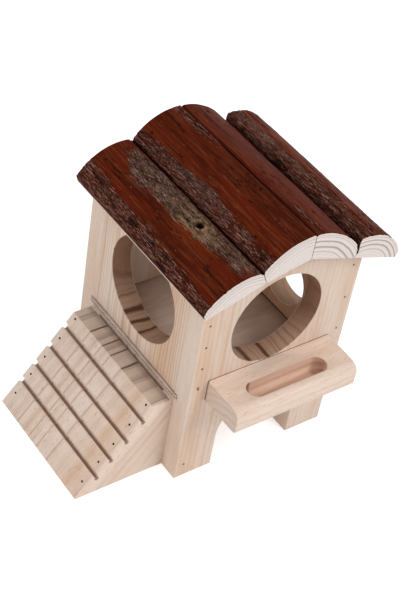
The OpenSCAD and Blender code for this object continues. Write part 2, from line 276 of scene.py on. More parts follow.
def add(tree, kind, inputs=None, output=0, **settings):
    """Adds a node with its settings and inputs, and returns one of its outputs."""
    node = tree.nodes.new("ShaderNode" + kind)
    for name, value in settings.items():
        setattr(node, name, value)
    fill(tree, node, inputs or {})
    return node.outputs[output]


def new_material(name):
    """A material with an empty tree but for its shader and output."""
    material = bpy.data.materials.new(name)
    material.use_nodes = True
    return material, material.node_tree, material.node_tree.nodes["Principled BSDF"]


def in_grain(tree, place, grain, size):
    """The place on the object, measured from place (mm) with Z turned along the grain,
    in steps of size (mm)."""
    return add(
        tree, "Mapping", {
            "Vector": add(tree, "TexCoord", output="Object"),
            "Location": [c * MM for c in place],
            "Rotation": Vector(grain).to_track_quat("Z", "Y").to_euler(),
            "Scale": [c * MM for c in size],
        }, vector_type="TEXTURE")


def streaked(tree, place, grain, size, low, high, most=1.0, detail=2.0):
    """Streaks along the grain, as wide, deep and long as size (mm): 0 where the noise in
    them is under low, and most where it is over high."""
    field = add(tree, "TexNoise", {
        "Vector": in_grain(tree, place, grain, size), "Scale": 1.0,
        "Detail": detail, "Roughness": 0.6})
    return add(tree, "MapRange", {0: field, 1: low, 2: high, 4: most}, **SMOOTH)


def near_line(tree, place, direction, width, strength):
    """strength on a line through place (mm), fading to 0 at width (mm) from it."""
    core = 0.35
    beside = add(tree, "VectorMath", {
        0: in_grain(tree, place, direction, (width, width, 1)), 1: (1, 1, 0),
    }, operation="MULTIPLY")
    away = add(tree, "VectorMath", {0: beside}, "Value", operation="LENGTH")
    return add(tree, "MapRange", {0: away, 1: core, 2: 1.0, 3: strength, 4: 0.0}, **SMOOTH)


def layered(tree, base, layers):
    """Lays colours over a base, each where its mask says."""
    for mask, tone in layers:
        base = add(tree, "Mix", {0: mask, 6: base, 7: tone}, 2, data_type="RGBA")
    return base


def bold_bands(tree, distance, bands):
    """Bands that stand out across a board: each has its place and width in mm and its
    strength. It darkens slowly away from the pith and ends more sharply."""
    bands = sorted(bands)
    first = bands[0][0] - bands[0][1]
    last = bands[-1][0] + bands[-1][1]
    share = add(tree, "MapRange", {0: distance, 1: first, 2: last})
    profile = add(tree, "ValToRGB", {0: share})
    stops = profile.node.color_ramp.elements
    stops[0].color = stops[1].color = (0, 0, 0, 1)
    darkest = 0.1
    for place, width, strength in bands:
        for offset, level in ((-0.5, 0), (darkest, strength), (0.5, 0)):
            stop = stops.new((place + offset * width - first) / (last - first))
            stop.color = (level, level, level, 1)
    full_middle = 1.6
    return add(tree, "Math", {0: profile, 1: full_middle}, operation="MULTIPLY", use_clamp=True)


class Cut(NamedTuple):
    """How a board was cut from its trunk: the pith is a point (mm) on the trunk's middle
    line, start the distance from it to the board's edge, ring the width of a year, and
    wander how much the trunk bends."""
    pith: tuple
    start: float = 0.0
    grain: Vector = UP
    ring: float = 3.0
    wander: float = 1.0


def sawn_pine(name, cut, bold=(), heart=(), contrast=0.3, fine=1.0, pale=None, late=None,
              tan=None, end=None, end_pale=None, end_contrast=0.8, warm=0.4, canals=0.3,
              spots=()):
    """Pine that was cut and left bare. Rings run through the whole board, so each face
    shows what its cut through the trunk gives: lines along the grain, arches where it
    grazes a ring, and dull dark bands across end grain. Fibres give it a soft sheen.

    bold and heart are bands for bold_bands, in the late wood's colour and in tan. The
    other numbers are strengths: of rings, of the rings that no band names, of rings in
    end grain, of tan clouds and of resin canals. Spots are knots, scorches and lines of
    painted shade in seams and corners, each a line that shows where it meets a face: its
    place (mm), direction, width (mm), strength and colour."""
    material, tree, shader = new_material(name)
    tones = colours()
    pale = pale or tones.pine_pale
    late = late or tones.pine_late
    tan = tan or tones.pine_tan
    end = end or tones.pine_end
    end_pale = end_pale or pale
    pith, grain = cut.pith, cut.grain

    # Distance from the trunk's middle line in mm, which the trunk's slow bends distort
    trunk = in_grain(tree, pith, grain, (1, 1, 1))
    bend = add(tree, "TexNoise", {
        "Vector": in_grain(tree, pith, grain, TRUNK_BENDS), "Scale": 1.0, "Detail": 2.0,
        "Roughness": 0.55}, "Color")
    centred = add(tree, "VectorMath", {0: bend, 1: (0.5, 0.5, 0.5)}, operation="SUBTRACT")
    furthest = 6 * cut.wander
    sway = (furthest, furthest, 0)
    bent = add(tree, "VectorMath", {0: centred, 1: sway, 2: trunk}, operation="MULTIPLY_ADD")
    flat = add(tree, "VectorMath", {0: bent, 1: (1, 1, 0)}, operation="MULTIPLY")
    radius = add(tree, "VectorMath", {0: flat}, "Value", operation="LENGTH")
    distance = add(tree, "Math", {0: radius, 1: cut.start}, operation="SUBTRACT")

    # Late wood darkens slowly through each year and ends sharply; no two years are alike
    years = add(tree, "Math", {0: distance, 1: cut.ring}, operation="DIVIDE")
    year = add(tree, "Math", {0: years}, operation="FLOOR")
    season = add(tree, "Math", {0: years}, operation="FRACT")
    chance = add(tree, "TexWhiteNoise", {"W": year}, "Value", noise_dimensions="1D")
    rise = add(tree, "MapRange", {0: season, 1: 0.3, 2: 0.88}, **SMOOTH)
    fall = add(tree, "MapRange", {0: season, 1: 0.9, 2: 1.0, 3: 1.0, 4: 0.0}, **SMOOTH)
    line = add(tree, "Math", {0: rise, 1: fall}, operation="MULTIPLY")
    vigour = add(tree, "Math", {0: chance, 1: 0.85 * fine, 2: 0.15 * fine},
                 operation="MULTIPLY_ADD")
    rings = add(tree, "Math", {0: line, 1: vigour}, operation="MULTIPLY")
    marks = rings
    if bold:
        drawn = bold_bands(tree, distance, bold)
        marks = add(tree, "Math", {0: rings, 1: drawn}, operation="MAXIMUM")

    fibre_depth = 0.16
    fibres = streaked(tree, pith, grain, FIBRES, 0.35, 0.75, fibre_depth, 3.0)
    open_canals = streaked(tree, pith, grain, CANALS, 0.6, 0.68, canals)
    clouds = streaked(tree, pith, grain, CLOUDS, 0.42, 0.72, warm)
    side_marks = add(tree, "Math", {0: marks, 1: contrast}, operation="MULTIPLY")
    layers = [(clouds, tan)]
    if heart:
        layers.append((bold_bands(tree, distance, heart), tan))
    layers += [(side_marks, late), (fibres, late), (open_canals, late)]
    side = layered(tree, pale, layers)

    # Where a face is cut across the grain, the open ends of the fibres are darker and dull
    normal = add(tree, "TexCoord", output="Normal")
    facing = add(tree, "VectorMath", {0: normal, 1: Vector(grain).normalized()}, "Value",
                 operation="DOT_PRODUCT")
    squarely = add(tree, "Math", {0: facing}, operation="ABSOLUTE")
    across = add(tree, "MapRange", {0: squarely, 1: 0.3, 2: 0.85}, **SMOOTH)
    end_marks = add(tree, "Math", {0: marks, 1: end_contrast}, operation="MULTIPLY")
    ends = layered(tree, end_pale, [(end_marks, end), (fibres, late)])
    skin = layered(tree, side, [(across, ends)])
    skin = layered(tree, skin, [(near_line(tree, *spot), linear(tone)) for *spot, tone in spots])

    shine = add(tree, "MapRange", {0: fibres, 2: fibre_depth, 3: 0.55, 4: 0.72})
    height = add(tree, "Math", {0: fibres, 1: 3.0, 2: marks}, operation="MULTIPLY_ADD")
    relief = add(tree, "Bump", {"Height": height, "Strength": 0.3, "Distance": 0.12 * MM})
    fill(tree, shader, {
        "Base Color": skin, "Roughness": shine, "Specular IOR Level": 0.28, "Normal": relief})
    return material


def plywood():
    """Poplar plywood, rotary cut and glued: a pale face, and a dark core ply that shows
    as a broken brown line along the sheet's edge."""
    material, tree, shader = new_material("rotary_cut_poplar_plywood")
    tones = colours()
    place = (0, 0, (SHEET_LOW.z + SHEET_HIGH.z) / 2 / MM)
    thickness = (SHEET_HIGH.z - SHEET_LOW.z) / MM
    face = layered(tree, tones.ply_face, [
        (streaked(tree, place, LONG, (9, 9, 40), 0.4, 0.7, 0.5), linear("#ad9481")),
        (streaked(tree, place, LONG, (0.6, 0.6, 16), 0.4, 0.8, 0.3, 3.0), linear("#947a67")),
    ])

    # The core ply is the middle third of the sheet's thickness, and shows only at its edge
    layer = add(tree, "SeparateXYZ", {0: in_grain(tree, place, UP, (1, 1, thickness / 2))}, "Z")
    height = add(tree, "Math", {0: layer}, operation="ABSOLUTE")
    inside = add(tree, "MapRange", {0: height, 1: 0.34, 2: 0.22})
    dashes = streaked(tree, place, DEEP, (0.5, 0.5, 1.6), 0.35, 0.6)
    upright = add(tree, "SeparateXYZ", {0: add(tree, "TexCoord", output="Normal")}, "Z")
    tilt = add(tree, "Math", {0: upright}, operation="ABSOLUTE")
    edge = add(tree, "MapRange", {0: tilt, 1: 0.5, 2: 0.2})
    core = add(tree, "Math", {0: inside, 1: edge}, operation="MULTIPLY")
    core = add(tree, "Math", {0: core, 1: dashes}, operation="MULTIPLY")
    relief = add(tree, "Bump", {"Height": dashes, "Strength": 0.2, "Distance": 0.08 * MM})
    fill(tree, shader, {
        "Base Color": layered(tree, face, [(core, tones.ply_core)]), "Roughness": 0.62,
        "Specular IOR Level": 0.3, "Normal": relief})
    return material


BARK_MASKS = ("outer_bark", "weathered", "crack", "near_knot")


def stained_bark(name, place, worn):
    """Bark under a red-brown stain: smooth inner bark with a faint sheen, dull outer bark
    with torn fibres, and grey weathered bark. The mesh's attributes say where each is."""
    material, tree, shader = new_material(name)
    tones = colours()
    outer, weathered, crack, near_knot = (
        add(tree, "Attribute", output="Fac", attribute_name=kind) for kind in BARK_MASKS)

    def lines(size, low, high, most=1.0, detail=3.0):
        return streaked(tree, place, DEEP, size, low, high, most, detail)

    # Bark tears along its fibres, so a border between two kinds of bark is frayed
    fibre = lines((0.5, 0.5, 6), 0.36, 0.64)
    fray = add(tree, "Math", {0: fibre, 1: 0.72}, operation="MULTIPLY")

    def frayed(mask):
        total = add(tree, "Math", {0: fray, 1: mask}, operation="ADD")
        return add(tree, "MapRange", {0: total, 1: 0.72, 2: 0.98}, **SMOOTH)

    outer, weathered = frayed(outer), frayed(weathered)
    # From wide to narrow marks: clouds, worn streaks, fibres and pores
    smooth = layered(tree, tones.stain, [
        (lines((6, 6, 50), 0.45, 0.62, 0.8), tones.stain_deep),
        (lines((5, 5, 34), 0.56, 0.72, worn), tones.stain_worn),
        (lines((1.2, 1.2, 24), 0.5, 0.66, 0.6 * worn), linear("#96583c")),
        (near_knot, tones.stain_worn),
        (lines((0.9, 0.9, 20), 0.5, 0.3, 0.8), tones.stain_deep),
        (lines((0.5, 0.5, 14), 0.58, 0.7, 0.4), linear("#8a4a30")),
        (lines((0.3, 0.3, 9), 0.68, 0.74, 0.5), linear("#a77a68")),
        (lines((0.45, 0.45, 0.9), 0.76, 0.8, 0.8, 1.0), linear("#c99a6c")),
    ])
    rough = layered(tree, tones.bark_dark, [
        (lines((1.4, 1.4, 16), 0.42, 0.6, 0.9), linear("#552418")),
        (lines((0.5, 0.5, 6), 0.45, 0.36, 0.8), linear("#1d0b08")),
        (lines((0.3, 0.3, 7), 0.52, 0.64, 0.9), tones.bark_pink),
    ])
    grey = layered(tree, tones.bark_grey, [
        (near_knot, linear("#a8845f")),
        (lines((2.2, 2.2, 12), 0.45, 0.58, 0.75), linear("#3a221a")),
        (lines((0.4, 0.4, 4), 0.52, 0.64, 0.8), tones.bark_light),
        (lines((0.4, 0.4, 2.4), 0.5, 0.4, 0.85), linear("#25140e")),
    ])
    skin = layered(tree, smooth, [
        (outer, rough), (weathered, grey), (crack, linear("#120504"))])

    dull = add(tree, "Math", {0: outer, 1: weathered}, operation="MAXIMUM")
    gloss = add(tree, "Math", {0: fibre, 1: 0.14, 2: 0.36}, operation="MULTIPLY_ADD")
    roughness = add(tree, "MapRange", {0: dull, 3: gloss, 4: 0.8})
    flakes = lines((0.5, 0.5, 4.5), 0.25, 0.75)
    depth = add(tree, "Math", {0: dull, 1: 0.9, 2: 0.2}, operation="MULTIPLY_ADD")
    height = add(tree, "Math", {0: flakes, 1: depth}, operation="MULTIPLY")
    relief = add(tree, "Bump", {"Height": height, "Strength": 0.7, "Distance": 0.5 * MM})
    fill(tree, shader, {
        "Base Color": skin, "Roughness": roughness, "Specular IOR Level": 0.012,
        "Normal": relief})
    return material


def dull_steel(name, tone):
    """Drawn steel wire with a cut head, browned by handling, so it reads as a faint dot."""
    material, tree, shader = new_material(name)
    scratches = streaked(tree, (0, 0, 0), UP, (0.3, 0.3, 0.9), 0.35, 0.7)
    skin = layered(tree, linear("#241a15"), [(scratches, tone)])
    fill(tree, shader, {
        "Base Color": skin, "Metallic": 0.1, "Specular IOR Level": 0.1, "Roughness": 0.6})
    return material


# ---- boards

# Boards sawn beside the middle of a trunk have almost straight rings. Their piths lie
# this far outside the house, in mm
FAR = 150


class HAMSTER_OT_walls(bpy.types.Operator):
    """Dress the front and back panels and the side walls"""
    bl_idname = "hamster_house.walls"
    bl_label = "Walls"

    def execute(self, context):
        left, right = FRONT_LOW.x / MM, FRONT_HIGH.x / MM
        face, rear = FRONT_LOW.y / MM, BACK_HIGH.y / MM

        # Bold rings and warm bands have their distance from the panel's left edge, or on
        # the side walls from the front panel's face, their width and their strength
        # A knot, painted shade where the trough's left end meets the panel, and a dark spot below
        # the trough's end
        knot_and_shade_marks = [
            ((left + across, face, height), DEEP, width, 0.8, "#8a5f4a")
            for across, height, width in ((4.6, 66.5, 1.3), (12, 60.7, 1.1), (23, 41.2, 1.0))]
        self.board(
            "front_panel", Cut((left - FAR, face + 6, 0), FAR, ring=3.1, wander=0.7),
            bold=((35.5, 6, 1), (49, 3.8, 0.9), (57, 1.6, 0.3), (61, 1.4, 0.3),
                  (64.5, 1.4, 0.35), (68, 1.4, 0.3), (74.5, 1.2, 0.3), (91, 1.2, 0.3)),
            heart=((5, 9, 0.35), (17.5, 4, 0.25), (31, 3, 0.2)),
            contrast=0.24, openings=("front_entrance",), axis=DEEP, spots=knot_and_shade_marks)
        self.board(
            "back_panel", Cut((right + 60, rear + 40, 0), 60, ring=3.8, wander=1.3),
            heart=((20, 12, 0.4), (70, 9, 0.4)), contrast=0.3)

        # Painted shade: dark lines along the seams where the sheet's upper face meets the side walls
        board = FRONT_HIGH.y / MM - face
        gap_over_sheet = 0.75
        over_sheet = SHEET_HIGH.z / MM + gap_over_sheet
        left_seam_shade = [((left, 0, over_sheet), DEEP, 0.75, 0.9, "#3a2a21")]
        right_seam_shade = [((right - board, 0, over_sheet), DEEP, 1.5, 1, "#0e0805")]
        side = Cut((left + 6, face - FAR, 0), FAR, ring=2.3, wander=1.1)
        side_bands = dict(
            bold=((17.5, 1.4, 0.6), (22.5, 1.4, 0.7), (27, 1.6, 0.7), (36, 1.6, 0.4),
                  (47.5, 3.4, 0.8), (55.5, 3.6, 0.9), (62.1, 4.2, 1), (69, 2, 0.4), (76, 3, 0.4)),
            heart=((24, 30, 0.5), (87.5, 3, 0.4)), contrast=0.58, spots=left_seam_shade)
        self.board("left_upper_wall", side, openings=("left_entrance",), axis=LONG, **side_bands)
        self.board("left_lower_wall", side, **side_bands)
        cut = Cut((right - 30, face + 46, 0), 0, ring=4.6, wander=1.5)
        piece = self.board("right_wall", cut, openings=("right_window",), axis=LONG,
                           contrast=0.4, spots=right_seam_shade)
        # Its inner face gets a browner copy of the pine, painted shade for the dark inside of the
        # house
        brown = sawn_pine("right_wall_shaded_inner_pine", cut, contrast=0.6, pale=linear("#d3a684"),
                          warm=0.9, spots=right_seam_shade)
        paint_faces(piece, brown, lambda face: face.normal.x < -0.9)
        return {"FINISHED"}

    @staticmethod
    def board(node, cut, openings=(), axis=None, **wood):
        """Dresses one board. Its faces are planed, so they are even, and rings are clear."""
        piece = merged_copy(node)
        ease_arrises(piece, sizes().arris)
        finish_piece(piece, sawn_pine(node + "_planed_pine", cut, **wood), node)
        # The holes' wood is brown where the drill burnished it, and darker still with painted shade
        # inside the hole, with only bold rings
        if openings:
            tones = colours()
            wood.update(
                pale=tones.drilled, end_pale=tones.drilled_end, late=tones.drilled_ring,
                end=tones.drilled_ring, tan=tones.drilled, contrast=0.6, end_contrast=0.95,
                fine=0.35)
            paint_holes(piece, openings, axis, sawn_pine(node + "_drilled_and_shaded_pine", cut, **wood))
        return piece


class HAMSTER_OT_floor_sheet(bpy.types.Operator):
    """Dress the plywood floor sheet"""
    bl_idname = "hamster_house.floor_sheet"
    bl_label = "Floor sheet"

    def execute(self, context):
        piece = merged_copy("floor_sheet")
        ease_arrises(piece, sizes().sheet_corner, 3,
                     lambda start, end: abs((end - start).normalized().z) > 0.9)
        ease_arrises(piece, sizes().crisp_arris)
        finish_piece(piece, plywood(), "floor_sheet", FLOOR)
        return {"FINISHED"}


class HAMSTER_OT_trough(bpy.types.Operator):
    """Dress the feeding trough"""
    bl_idname = "hamster_house.trough"
    bl_label = "Feeding trough"

    def execute(self, context):
        piece = merged_copy("feeding_trough")
        low, high = TROUGH_LOW, TROUGH_HIGH

        def lower_front(start, end):
            return max(abs(p.z - low.z) + abs(p.y - low.y) for p in (start, end)) < NEAR

        def clear_of_panel(start, end):
            return max(start.y, end.y) < high.y - NEAR

        ease_arrises(piece, sizes().trough_arris, 4, lower_front)
        ease_arrises(piece, sizes().arris, 2, clear_of_panel)
        cut = Cut((0, low.y / MM + 2, low.z / MM - 22), grain=(1, 0.02, 0.03), ring=4.2,
                  wander=0.8)
        # Painted shade: a dark line along the seam where the trough's top meets the panel, and
        # another down the rear edge of its left end
        seam = ((low.x / MM, high.y / MM, high.z / MM), LONG, 0.6, 0.85, "#5a3826")
        corner = ((low.x / MM, high.y / MM, 0), UP, 1.3, 0.75, "#4a2f22")
        planed = sawn_pine(
            "trough_planed_pine", cut, contrast=0.22, end_contrast=0.4, fine=0.7, canals=0.5,
            pale=linear("#efdaca"), end_pale=linear("#dac5b6"), spots=(seam, corner))
        finish_piece(piece, planed, "feeding_trough")

        # The pocket was milled, which leaves it smooth and pink, and scorched at its ends
        milled_tone = linear("#e8c6b0")
        from_end, from_panel = 13.75, 9.9
        left_end, right_end = low.x / MM + from_end, high.x / MM - from_end
        back_wall = high.y / MM - from_panel
        scorches = (((left_end + 3.6, back_wall - 0.8, 0), UP, 2.6, 0.75, "#6a4029"),
                    ((right_end - 2, back_wall - 3.5, 0), UP, 5.5, 0.45, "#8a5a40"))
        milled = sawn_pine(
            "trough_milled_pine", cut, pale=milled_tone, end=colours().pine_late,
            end_pale=milled_tone, contrast=0.4, warm=0, spots=scorches)
        rim = 0.7 * MM
        edge = 6 * MM

        def in_pocket(face):
            x, y, z = face.center
            inside = low.x + edge < x < high.x - edge and low.y + edge < y < high.y
            return inside and low.z + NEAR < z < high.z - rim

        paint_faces(piece, milled, in_pocket)
        return {"FINISHED"}


class HAMSTER_OT_ramp(bpy.types.Operator):
    """Dress the ramp board and its cheeks"""
    bl_idname = "hamster_house.ramp"
    bl_label = "Ramp"

    def execute(self, context):
        toe = RAMP_LOW / MM
        top = RAMP_HIGH / MM
        landing_depth = 12.4
        run = FRONT_LOW.x / MM - landing_depth - toe.x
        slope = Vector((run, 0, top.z)).normalized()

        piece = merged_copy("ramp_board")
        corners = self.groove_corners(piece, slope)
        ease_arrises(piece, sizes().crisp_arris)

        # The board was left as the saw cut it, with its resin canals open as short dashes.
        # Bold rings and warm bands have their distance from its back edge
        tones = colours()
        wood = dict(
            bold=((5, 1.2, 0.5), (17, 1.8, 1), (29, 1.6, 0.9), (37, 1.6, 0.8), (48, 2, 1),
                  (60, 1.2, 0.3), (76, 1.4, 0.5)),
            heart=((12, 6, 0.2), (24, 5, 0.2), (66, 18, 0.4)), contrast=0.5, fine=0.45,
            end=linear("#5a3a28"), end_contrast=0.95, warm=0.25, canals=0.75,
            pale=linear("#eedacb"),
            # Painted shade in each groove, dark brown at its lower corner and fading up the slope
            spots=[(corner + 0.2 * slope, DEEP, 1.8, 0.8, "#704527") for corner in corners])
        # Painted shade on the landing, darkest along the wall
        landing_shade_by_wall = ((FRONT_LOW.x / MM, 0, top.z), DEEP, 6, 0.35, "#5b4a40")
        wood["spots"].append(landing_shade_by_wall)
        cut = Cut((toe.x, top.y + FAR, 0), FAR, grain=slope, ring=8.5, wander=0.3)
        sawn = sawn_pine("ramp_sawn_pine", cut, end_pale=linear("#d9c4b3"), **wood)
        finish_piece(piece, sawn, "ramp_board")
        # The grooves get a paler copy of the pine, painted light that offsets the shade inside them
        groove_painted_light = linear("#fbeadd")
        wood.update(pale=groove_painted_light, end_pale=groove_painted_light, end_contrast=0.2)
        out = slope.cross(DEEP)
        groove_depth = 3
        margin = 0.1

        def in_groove(face):
            over_floor = (face.center / MM - corners[0]).dot(out)
            return -margin < over_floor < groove_depth - margin and abs(face.normal.y) < 0.5

        paint_faces(piece, sawn_pine("ramp_groove_lightened_pine", cut, **wood), in_groove)

        # The cheeks are offcuts, sawn along the slope
        for side, offset in (("front", -30), ("back", 40)):
            node = "ramp_cheek_" + side
            cheek = sawn_pine(
                node + "_sawn_pine", Cut((toe.x + 10, offset, -30), grain=slope, ring=4.6),
                contrast=0.22, warm=0.2, end_contrast=0.3)
            piece = merged_copy(node)
            ease_arrises(piece, 2 * sizes().crisp_arris)
            finish_piece(piece, cheek, node)
        return {"FINISHED"}

    @staticmethod
    def groove_corners(piece, slope):
        """A point in mm on the inner corner of each groove, under its lower side."""
        out = slope.cross(DEEP)
        places = [vertex.co / MM for vertex in piece.data.vertices]
        larger_than_brad_hole = 50 * MM ** 2
        down_slope = 0.97
        return [
            min((places[i] for i in face.vertices), key=out.dot)
            for face in piece.data.polygons
            if face.normal.dot(slope) > down_slope and face.area > larger_than_brad_hole]


# ---- roof

ROOF_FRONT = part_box("roof_slab_left_eave")[0].y
ROOF_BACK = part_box("roof_slab_left_eave")[1].y
SLAB_GAP = 0.3


class Slab:
    """A piece of a round log above a sawn underside, as the CAD model has it.

    Distances across a slab are measured along its underside from its start, the side
    nearer the ridge, and distances along it from the roof's front end, in millimetres.
    crown is its greatest thickness, and crown_at says where; edge is its thickness at the
    far side; leans are its two sides' angles from upright; brads are places across it;
    bark is the function that maps its bark, and worn how much of the stain is worn thin;
    wane is the radius of a smaller round on the inner shoulder and its height there."""

    def __init__(self, name, side, start, pitch, width, crown_at, crown, edge, leans,
                 brads, rings, bark, worn=0.3, wane=None):
        turn = math.radians(pitch)
        self.name = name
        self.start = Vector((start.x, 0, start.z))
        self.down = Vector((side * math.cos(turn), 0, -math.sin(turn)))
        self.out = Vector((side * math.sin(turn), 0, math.cos(turn)))
        self.side = side
        self.width = width
        run, fall = width - crown_at, crown - edge
        self.radius = (run ** 2 + fall ** 2) / (2 * fall)
        self.middle = self.start + (
            crown_at * self.down + (crown - self.radius) * self.out) * MM
        self.rings = rings
        self.bark = bark
        self.worn = worn
        self.wane = wane
        inner, outer = (self.leaning(lean).cross(DEEP) for lean in leans)
        self.inner_side = -inner if inner.dot(self.down) > 0 else inner
        self.outer_side = outer if outer.dot(self.down) > 0 else -outer
        self.brad_heads = [
            Vector((head.x, (low.y + high.y) / 2, head.z))
            for head in (self.top(across, crown_at, crown) for across in brads)
            for low, high in ((FRONT_LOW, FRONT_HIGH), (BACK_LOW, BACK_HIGH))
        ]

    def leaning(self, degrees):
        """Direction of a side that leans from upright towards the eave."""
        turn = math.radians(degrees)
        return Vector((self.side * math.sin(turn), 0, math.cos(turn)))

    def foot(self, across):
        return self.start + across * self.down * MM

    def across(self, point):
        return (point - self.start).dot(self.down) / MM

    def from_side(self, point):
        """Distance in mm of a point on the slab from the nearer joint with another slab."""
        from_inner = (self.start - point).dot(self.inner_side) / MM
        if self.name.endswith("eave"):
            return from_inner
        return min(from_inner, (self.foot(self.width) - point).dot(self.outer_side) / MM)

    def top(self, across, crown_at, crown):
        """The place on the log's round above a place on its underside."""
        drop = self.radius - math.sqrt(self.radius ** 2 - (across - crown_at) ** 2)
        return self.foot(across) + (crown - drop) * self.out * MM

    def skin(self, point):
        """The place on the slab's round that a point of the log takes, and which way it
        faces there. The wane is a smaller round that cuts off the log's inner shoulder."""
        ray = point - self.middle
        ray.y = 0
        if self.wane:
            middle = self.foot(0) + Vector((self.side * self.wane[0], 0, self.wane[1])) * MM
            short = point - middle
            short.y = 0
            reach = self.wane[0] * MM
            if short.length > reach and short.dot(self.down) < 0:
                facing = short.normalized()
                return point - facing * (short.length - reach), facing
        return point.copy(), ray.normalized()


def slabs():
    """The four slabs, each built on the one above it. Their bold rings are given as depth
    under the bark, width and strength."""
    ridge = Vector(((FRONT_LOW.x + FRONT_HIGH.x) / 2, 0, FRONT_HIGH.z))
    fine = ((0.9, 0.7, 0.45), (2.1, 0.8, 0.6), (3.8, 0.9, 0.45), (6, 0.9, 0.3))
    left_ridge = Slab(
        "roof_slab_left_ridge", -1, ridge, pitch=12, width=26.2, crown_at=5.5, crown=15.4,
        edge=8.3, leans=(0, 24), brads=(7, 20), rings=fine, bark=bark_left_ridge)
    right_ridge = Slab(
        "roof_slab_right_ridge", 1, ridge, pitch=19, width=31.6, crown_at=4.5, crown=14.8,
        edge=5, leans=(0, 0), brads=(8, 23), bark=bark_right_ridge,
        rings=((0.9, 0.6, 0.5), (1.9, 0.6, 0.5), (4.4, 1.3, 1), (7.6, 1.5, 1), (10.4, 1, 0.5)))
    left_joint = left_ridge.foot(left_ridge.width)
    right_joint = right_ridge.foot(right_ridge.width)
    past_wall = 10
    left_pitch, right_pitch = 18, 19
    left_reach = (left_joint.x - FRONT_LOW.x) / MM + past_wall
    right_reach = (FRONT_HIGH.x - right_joint.x) / MM + past_wall
    left_eave = Slab(
        "roof_slab_left_eave", -1, left_joint, pitch=left_pitch,
        width=left_reach / math.cos(math.radians(left_pitch)), crown_at=15, crown=11.2,
        edge=3.8, leans=(24, left_pitch), brads=(7, 20), rings=fine, bark=bark_left_eave)
    right_eave = Slab(
        "roof_slab_right_eave", 1, right_joint, pitch=right_pitch,
        width=right_reach / math.cos(math.radians(right_pitch)), crown_at=9.4, crown=13.7,
        edge=3.8, leans=(0, right_pitch), brads=(5, 14), bark=bark_right_eave, worn=1.0,
        rings=((1.1, 0.6, 0.5), (2.8, 1.1, 0.9), (5.4, 1.3, 1), (8.2, 1, 0.6)), wane=(22, 2))
    return [left_eave, left_ridge, right_ridge, right_eave]


def soft_step(value, low, high):
    """0 below low and 1 above high, with a smooth way between."""
    t = min(max((value - low) / (high - low), 0), 1)
    return t * t * (3 - 2 * t)


def wavering(across, along, width, run, seed):
    """Noise drawn out along a slab, from about -1 to 1."""
    return noise.noise(Vector((across / width, along / run, seed)))


def waves(across, along, *each):
    """The sum of wavering heights, each with its height in mm, width, run and seed."""
    return sum(height * wavering(across, along, *wave) for height, *wave in each)


def band(value, low, high, soft):
    """1 between low and high, and 0 outside, with soft edges."""
    begun = soft_step(value, low - soft, low + soft)
    return begun * (1 - soft_step(value, high - soft, high + soft))


# The next four functions say how much of a slab's bark is rough outer bark and how much is
# weathered grey at a place, from 0 to 1. Their places are judged in mm across and along the
# slab, and each border is shifted by a ragged distance

def bark_left_eave(across, along):
    """Outer bark at the eave, and a grey strip round a knot along the upper joint."""
    ragged = waves(across, along, (2.4, 4, 11, 1.3), (1.3, 1.4, 5, 2.1))
    border = 28.5 - 0.055 * (along - 50)
    eave = soft_step(across + 0.7 * ragged, border - 2, border + 1.5)
    widest = 15.5 - 6 * soft_step(along, 85, 112) - 4.5 * soft_step(along, 44, 14)
    grey = band(across + 0.8 * ragged, 1.6, widest, 2.4) * band(along + 2 * ragged, 2, 106, 6)
    joint = 0.8 * (1 - soft_step(across + 0.4 * ragged, 0.6, 2.4))
    return max(eave, joint), grey


def bark_left_ridge(across, along):
    """A rough strip along the lower edge, and a narrow one beside the ridge."""
    ragged = waves(across, along, (2.6, 3.4, 14, 5.7), (1.1, 1.2, 5, 6.1))
    bulge = 3 * band(along, 30, 80, 14)
    low = soft_step(across + ragged, 20.6 - bulge, 23.6 - bulge)
    high = 0.85 * (1 - soft_step(across + 0.5 * ragged, 1.2, 3.0)) * soft_step(along, 70, 92)
    grey = 0.55 * band(across + ragged, 19.5, 24.5, 1.6) * band(along, 38, 100, 10)
    return max(low, high), grey


def bark_right_ridge(across, along):
    """Almost all smooth, with a rough strip down by the valley."""
    ragged = 1.5 * wavering(across, along, 4, 14, 8.2)
    low = soft_step(across + ragged, 27, 29)
    torn = 0.9 * band(across, -1, 2.2 + 0.5 * ragged, 0.6) * band(along, 4, 24, 3)
    return max(low, torn), 0.0


def bark_right_eave(across, along):
    """Rough grey bark on the flank above the valley, ragged stripes on the rest."""
    ragged = waves(across, along, (1.8, 3, 12, 11.4), (0.8, 1.2, 4, 12.2))
    flank = 1 - soft_step(across + ragged, 1.5, 5.5)
    stripes = 0.6 * soft_step(wavering(across, along, 2.2, 30, 13.5), 0.1, 0.3)
    eave = soft_step(across + ragged, 20, 26)
    grey = 0.75 * band(across + ragged, 2.2, 6.5, 1.2) * soft_step(along, 6, 50)
    return max(flank, stripes, eave), grey


# The knot in the left eave slab: its distance across and along, in mm
KNOT = (8.2, 41.5)
# Heights and depths on the bark, in mm
FINE_RELIEF = 0.16
GREY_RELIEF = 0.35
CRACK_DEPTH = 0.35
KNOT_COLLAR = 0.7
KNOT_PIT = 1.5
SHOULDER_DROP = 0.9
BRAD_SINK = 0.7


